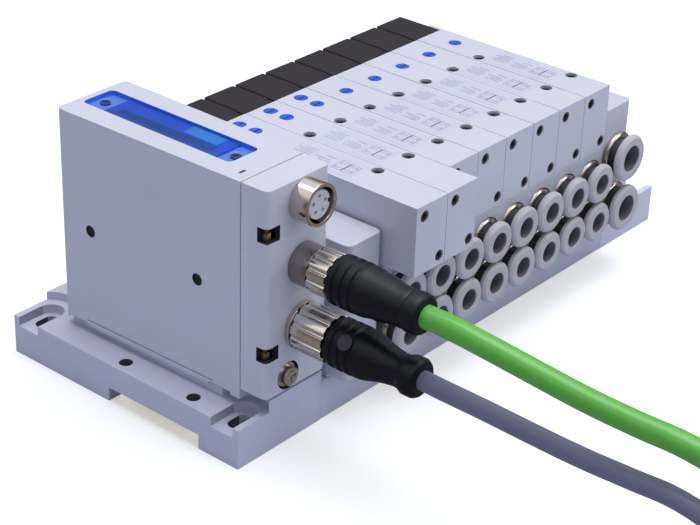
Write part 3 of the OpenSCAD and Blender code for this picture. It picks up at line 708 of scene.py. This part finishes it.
# Floor and light: a pale floor under soft studio light, with a large light above and weaker ones behind
# and on the port side. The backdrop is white to the camera, and reflections see it darken downwards.
bpy.ops.mesh.primitive_plane_add(size=8, location=(0, 0, 0))
floor = bpy.context.object
floor.name = "floor"
floor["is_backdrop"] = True
paper = bpy.data.materials.new("paper")
paper.use_nodes = True
tree = paper.node_tree
shader = tree.nodes["Principled BSDF"]
shader.inputs["Roughness"].default_value = 0.9
path = tree.nodes.new("ShaderNodeLightPath")
# The first colour is the floor's own, the second the darker one that reflections see
shade = tree.nodes.new("ShaderNodeMix")
shade.data_type = "RGBA"
shade.inputs[6].default_value = (0.62, 0.66, 0.80, 1)
shade.inputs[7].default_value = (0.20, 0.17, 0.16, 1)
tree.links.new(path.outputs["Is Glossy Ray"], shade.inputs[0])
tree.links.new(shade.outputs[2], shader.inputs["Base Color"])
seen = tree.nodes.new("ShaderNodeMath")
seen.operation = "MULTIPLY"
seen.inputs[1].default_value = 0.5
tree.links.new(path.outputs["Is Camera Ray"], seen.inputs[0])
shader.inputs["Emission Color"].default_value = (1, 0.97, 0.86, 1)
tree.links.new(seen.outputs["Value"], shader.inputs["Emission Strength"])
floor.data.materials.append(paper)

world = bpy.data.worlds.new("studio")
bpy.context.scene.world = world
world.use_nodes = True
tree = world.node_tree
sky = tree.nodes["Background"]
sky.inputs["Color"].default_value = (0.88, 0.93, 1, 1)
sky.inputs["Strength"].default_value = 0.37
white = tree.nodes.new("ShaderNodeBackground")
white.inputs["Color"].default_value = (1, 1, 1, 1)
path = tree.nodes.new("ShaderNodeLightPath")
either = tree.nodes.new("ShaderNodeMath")
either.operation = "MAXIMUM"
tree.links.new(path.outputs["Is Camera Ray"], either.inputs[0])
tree.links.new(path.outputs["Is Transmission Ray"], either.inputs[1])
place = tree.nodes.new("ShaderNodeTexCoord")
axes = tree.nodes.new("ShaderNodeSeparateXYZ")
tree.links.new(place.outputs["Generated"], axes.inputs["Vector"])
bands = tree.nodes.new("ShaderNodeValToRGB")
bands.color_ramp.elements[0].position = 0.30
bands.color_ramp.elements[0].color = (0.17, 0.14, 0.13, 1)
bands.color_ramp.elements[1].position = 0.62
bands.color_ramp.elements[1].color = (1, 1, 1, 1)
tree.links.new(axes.outputs["Z"], bands.inputs["Fac"])
studio = tree.nodes.new("ShaderNodeBackground")
tree.links.new(bands.outputs["Color"], studio.inputs["Color"])
reflected = tree.nodes.new("ShaderNodeMixShader")
tree.links.new(path.outputs["Is Glossy Ray"], reflected.inputs["Fac"])
tree.links.new(sky.outputs["Background"], reflected.inputs[1])
tree.links.new(studio.outputs["Background"], reflected.inputs[2])
mix = tree.nodes.new("ShaderNodeMixShader")
tree.links.new(either.outputs["Value"], mix.inputs["Fac"])
tree.links.new(reflected.outputs["Shader"], mix.inputs[1])
tree.links.new(white.outputs["Background"], mix.inputs[2])
tree.links.new(mix.outputs["Shader"], tree.nodes["World Output"].inputs["Surface"])


def add_light(name, place, target, size, power):
    """Square light that faces a target. Places and sizes are in metres, power in watts."""
    bpy.ops.object.light_add(type="AREA", location=place)
    light = bpy.context.object
    light.name = name
    light.data.size = size
    light.data.energy = power
    light.rotation_euler = (Vector(target) - Vector(place)).to_track_quat("-Z", "Y").to_euler()


add_light("top_light", (0.1, -0.1, 1.2), (0, 0, 0), 0.9, 10.7)
add_light("rear_strip", (-0.12, 0.8, 1.2), (-0.1, 0, 0.05), 0.35, 1.3)
add_light("port_side_light", (0.9, -1.1, 0.7), (0, 0, 0.03), 0.7, 4.1)

bpy.context.scene.view_settings.view_transform = "Standard"
low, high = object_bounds()
